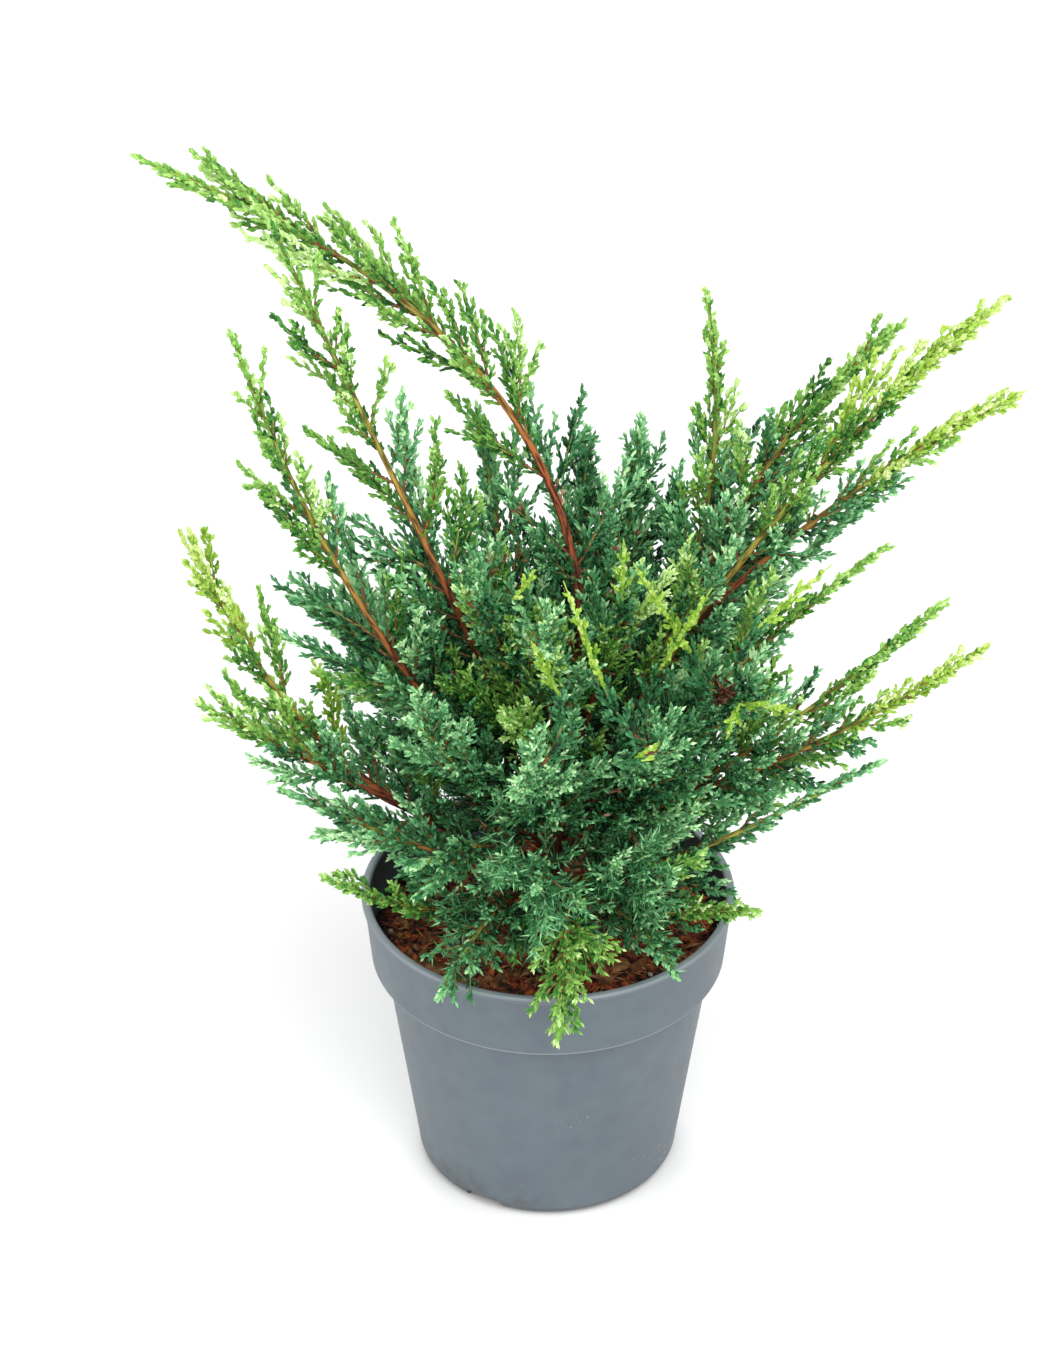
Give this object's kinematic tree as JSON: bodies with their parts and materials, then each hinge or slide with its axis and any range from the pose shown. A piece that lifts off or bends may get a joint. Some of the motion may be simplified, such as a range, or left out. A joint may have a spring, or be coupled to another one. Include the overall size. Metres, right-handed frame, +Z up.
{
  "type": "potted blaauw chinese juniper",
  "caption": "Young spreading juniper with arching shoots over a dense crown, growing in a round plastic nursery pot filled with bark mix.",
  "frame": {"origin": "centre of the pot's flat underside, where it stands", "axes": "+Z up along the pot's axis, +Y away from the front of the plant, +X to the right seen from the front"},
  "size_m": [0.3806, 0.2671, 0.5081],
  "materials": {
    "pot_plastic": "moulded polypropylene, matte grey-blue with faint mottling",
    "bark_mix": "moist shredded bark and coir",
    "bark": "thin reddish brown bark",
    "foliage_blue_green": "matte scale leaves",
    "foliage_fresh_green": "matte scale leaves",
    "foliage_young_tips": "soft young growth"
  },
  "bodies": {
    "root": {"bough_back_left": "bark", "bough_back_right": "bark", "bough_left_back": "bark", "bough_left_leader": "bark", "bough_left_low": "bark", "bough_left_second": "bark", "bough_left_third": "bark", "bough_right_behind": "bark", "bough_right_front": "bark", "bough_right_leader": "bark", "bough_right_low": "bark", "bough_right_side": "bark", "bough_upright": "bark", "foliage_back_left": "foliage_blue_green", "foliage_back_left_mid": "foliage_blue_green", "foliage_back_right": "foliage_blue_green", "foliage_back_right_mid": "foliage_blue_green", "foliage_back_rim_left": "foliage_blue_green", "foliage_back_rim_right": "foliage_blue_green", "foliage_front_left_rim": "foliage_blue_green", "foliage_front_low": "foliage_blue_green", "foliage_front_low_left": "foliage_blue_green", "foliage_front_low_right": "foliage_blue_green", "foliage_front_right_rim": "foliage_blue_green", "foliage_front_rim": "foliage_fresh_green", "foliage_left_back": "foliage_blue_green", "foliage_left_inner": "foliage_blue_green", "foliage_left_leader": "foliage_fresh_green", "foliage_left_low": "foliage_young_tips", "foliage_left_rim": "foliage_young_tips", "foliage_left_second": "foliage_fresh_green", "foliage_left_side": "foliage_blue_green", "foliage_left_third": "foliage_fresh_green", "foliage_mid_front": "foliage_blue_green", "foliage_mid_front_right": "foliage_blue_green", "foliage_mid_left": "foliage_blue_green", "foliage_mid_right": "foliage_blue_green", "foliage_right_behind": "foliage_blue_green", "foliage_right_front": "foliage_fresh_green", "foliage_right_leader": "foliage_young_tips", "foliage_right_low": "foliage_fresh_green", "foliage_right_lower": "foliage_blue_green", "foliage_right_rim": "foliage_fresh_green", "foliage_right_second": "foliage_blue_green", "foliage_right_side": "foliage_blue_green", "foliage_right_third": "foliage_blue_green", "foliage_top_back": "foliage_blue_green", "foliage_top_front": "foliage_fresh_green", "foliage_top_left": "foliage_blue_green", "foliage_top_middle": "foliage_fresh_green", "foliage_top_right": "foliage_fresh_green", "foliage_top_right_back": "foliage_blue_green", "foliage_upright": "foliage_fresh_green", "pot": "pot_plastic", "potting_mix": "bark_mix", "stem": "bark"}
  },
  "joints": []
}
